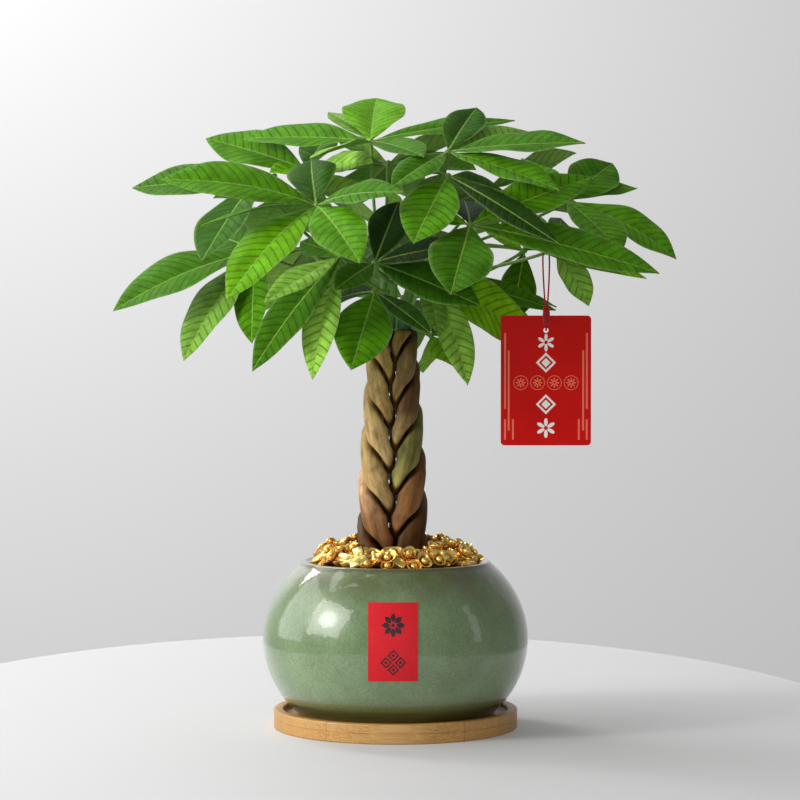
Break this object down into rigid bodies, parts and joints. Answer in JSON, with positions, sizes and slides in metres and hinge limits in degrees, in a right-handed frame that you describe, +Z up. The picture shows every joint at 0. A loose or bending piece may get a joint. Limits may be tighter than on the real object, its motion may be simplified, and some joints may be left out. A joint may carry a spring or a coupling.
{
  "type": "potted money tree",
  "caption": "Potted money tree: braided trunk with palmate leaves in a round glazed pot on a bamboo saucer, dressed with gold ingots, a red card hanging from a leaf stalk.",
  "frame": {"origin": "centre of the saucer's flat underside", "axes": "+Z up the trunk, +X to the right and -Y towards the viewer of the side with the label"},
  "size_m": [0.3577, 0.2925, 0.4124],
  "materials": {
    "bamboo": "sanded and oiled",
    "celadon_glaze": "glossy crackle glaze",
    "potting_soil": "rough",
    "gold_plating": "plated, polished",
    "bark": "matt with fine streaks",
    "green_shoot": "satin",
    "leaf": "waxy, veined",
    "red_label": "satin print",
    "red_card": "satin print",
    "red_cord": "twisted thread"
  },
  "bodies": {
    "root": {"saucer": "bamboo", "pot": "celadon_glaze", "soil": "potting_soil", "gold_ingots": "gold_plating", "stem_1": "bark", "stem_2": "bark", "stem_3": "bark", "stem_4": "bark", "stem_5": "bark", "shoot_1": "green_shoot", "shoot_2": "green_shoot", "shoot_3": "green_shoot", "shoot_4": "green_shoot", "shoot_5": "green_shoot", "leaf_top": "leaf", "leaf_upper_right": "leaf", "leaf_front_centre": "leaf", "leaf_left_near": "leaf", "leaf_left_mid": "leaf", "leaf_left_high": "leaf", "leaf_left_low": "leaf", "leaf_front_low_left": "leaf", "leaf_front_mid": "leaf", "leaf_trunk_front": "leaf", "leaf_low_right": "leaf", "leaf_small_low": "leaf", "leaf_right_near": "leaf", "leaf_right_far": "leaf", "leaf_card_stalk": "leaf", "leaf_right_low": "leaf", "leaf_back_left_high": "leaf", "leaf_back_centre_high": "leaf", "leaf_back_right_high": "leaf", "leaf_back_left_mid": "leaf", "leaf_back_centre_mid": "leaf", "leaf_back_right_low": "leaf", "leaf_back_low": "leaf", "pot_label": "red_label", "hang_tag": "red_card", "tag_knot": "red_cord", "tag_string": "red_cord"}
  },
  "joints": []
}
